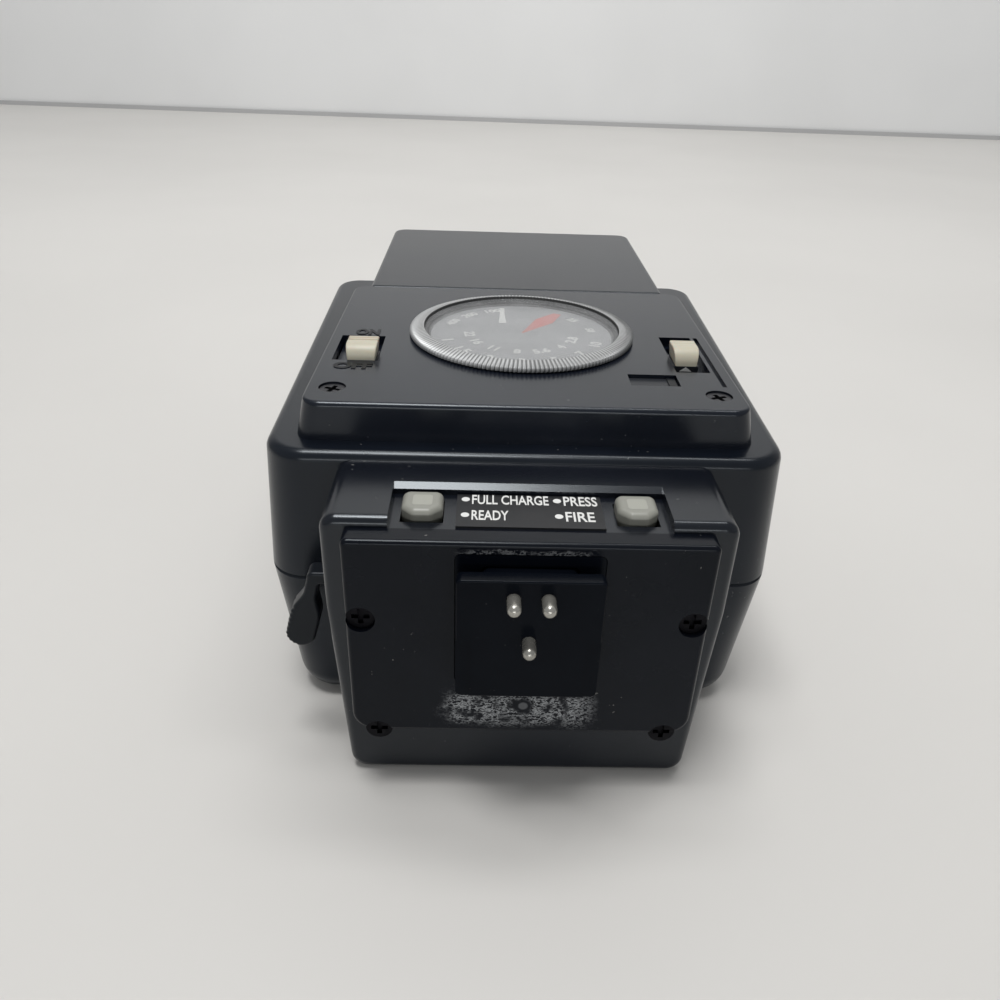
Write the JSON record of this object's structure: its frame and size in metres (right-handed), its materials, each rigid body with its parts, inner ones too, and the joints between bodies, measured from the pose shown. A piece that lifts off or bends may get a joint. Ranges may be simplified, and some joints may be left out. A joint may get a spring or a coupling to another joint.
{
  "type": "shoe mount flash",
  "caption": "Camera flash for an accessory shoe, with a calculator dial, slide switches, test button, lock lever and sprung contacts, lying on its front",
  "frame": {"origin": "middle of the bounding box, on the plane that the flash lies on", "axes": "+Z out of the rear control panel, +Y from the shoe foot towards the flash head, +X to the right seen from the rear"},
  "size_m": [0.0784, 0.1392, 0.0542],
  "materials": {
    "black_plastic": "satin moulded plastic",
    "panel_plastic": "fine satin plastic",
    "foot_plastic": "hard satin plastic",
    "blackened_steel": "blackened screws",
    "plain_steel": "plain steel",
    "pin_metal": "bright plated contact",
    "contact_metal": "plated brass",
    "cream_plastic": "cream switch caps",
    "dark_plastic": "plain inner moulding",
    "slit_plate": "dark grey insert",
    "scale_print": "dark grey printed scale",
    "ring_plastic": "silver knurled ring",
    "clear_plastic": "clear window",
    "label_print": "black label",
    "milky_plastic": "milky translucent plastic",
    "lamp_glass": "neon lamp",
    "sensor_tint": "dark red lens",
    "cell_wrap": "plain cell wrap",
    "board_laminate": "circuit board",
    "capacitor_wrap": "capacitor sleeve",
    "core_ferrite": "ferrite core with winding",
    "transistor_case": "moulded package",
    "mirror_sheet": "bright reflector sheet"
  },
  "bodies": {
    "body": {"front_shell": "black_plastic", "rear_shell": "black_plastic", "shell_screws": "blackened_steel", "control_panel": "panel_plastic", "panel_screws": "blackened_steel", "panel_window": "slit_plate", "dial_scale": "scale_print", "scale_rivet": "plain_steel", "power_switch": "dark_plastic", "mode_switch": "dark_plastic", "switch_board": "board_laminate", "base_housing": "black_plastic", "base_screws": "plain_steel", "bottom_cover": "black_plastic", "cover_screws": "blackened_steel", "label_strip": "label_print", "check_lamp": "milky_plastic", "lamp_bulb": "lamp_glass", "test_switch": "dark_plastic", "button_spring": "plain_steel", "shoe_foot": "foot_plastic", "foot_nut": "plain_steel", "contact_block": "dark_plastic", "sync_contact": "contact_metal", "pin_spring_centre": "plain_steel", "pin_spring_left": "plain_steel", "pin_spring_right": "plain_steel", "battery_tray": "dark_plastic", "battery_cell_1": "cell_wrap", "battery_cell_2": "cell_wrap", "battery_cell_3": "cell_wrap", "battery_cell_4": "cell_wrap", "near_contacts": "contact_metal", "far_contacts": "contact_metal", "main_board": "board_laminate", "main_capacitor": "capacitor_wrap", "transformer": "core_ferrite", "trigger_coil": "dark_plastic", "power_transistor": "transistor_case", "flash_window": "clear_plastic", "reflector": "mirror_sheet", "flash_tube": "clear_plastic", "tube_caps": "plain_steel", "sensor_lens": "sensor_tint", "sensor_cell": "transistor_case"},
    "power": {"power_slider": "cream_plastic"},
    "mode": {"mode_slider": "cream_plastic"},
    "dial": {"dial_ring": "ring_plastic", "dial_glass": "clear_plastic"},
    "button": {"test_button": "milky_plastic"},
    "lever": {"lock_lever": "foot_plastic"},
    "clamp": {"clamp_plate": "foot_plastic"},
    "pin_centre": {"contact_pin_centre": "pin_metal"},
    "pin_left": {"contact_pin_left": "pin_metal"},
    "pin_right": {"contact_pin_right": "pin_metal"},
    "door": {"battery_door": "black_plastic"}
  },
  "joints": [
    {"name": "power_slide", "type": "slide", "parent": "body", "child": "power", "axis": [0, 1, 0], "range_m": [0, 0.006]},
    {"name": "mode_slide", "type": "slide", "parent": "body", "child": "mode", "axis": [0, 1, 0], "range_m": [-0.0036, 0.0074]},
    {"name": "dial_turn", "type": "hinge", "parent": "body", "child": "dial", "pos_m": [0, -0.0085, 0.0535], "axis": [0, 0, 1], "range_deg": [-150, 150]},
    {"name": "test_press", "type": "slide", "parent": "body", "child": "button", "axis": [0, 0, -1], "range_m": [0, 0.0008], "stiffness_N_per_m": 300, "deforming": ["button_spring"]},
    {"name": "lever_swing", "type": "hinge", "parent": "body", "child": "lever", "pos_m": [0, -0.0513, 0.0314], "axis": [0, 1, 0], "range_deg": [0, 20]},
    {"name": "clamp_slide", "type": "slide", "parent": "body", "child": "clamp", "axis": [0, -1, 0], "range_m": [0, 0.0008]},
    {"name": "pin_centre_press", "type": "slide", "parent": "body", "child": "pin_centre", "axis": [0, 1, 0], "range_m": [0, 0.0016], "stiffness_N_per_m": 100, "deforming": ["pin_spring_centre"]},
    {"name": "pin_left_press", "type": "slide", "parent": "body", "child": "pin_left", "axis": [0, 1, 0], "range_m": [0, 0.0016], "stiffness_N_per_m": 100, "deforming": ["pin_spring_left"]},
    {"name": "pin_right_press", "type": "slide", "parent": "body", "child": "pin_right", "axis": [0, 1, 0], "range_m": [0, 0.0016], "stiffness_N_per_m": 100, "deforming": ["pin_spring_right"]},
    {"name": "door_slide", "type": "slide", "parent": "body", "child": "door", "axis": [1, 0, 0], "range_m": [0, 0.022]}
  ],
  "couplings": [
    {"joint": "clamp_slide", "follows": "lever_swing", "m_per_rad": 0.0017}
  ]
}
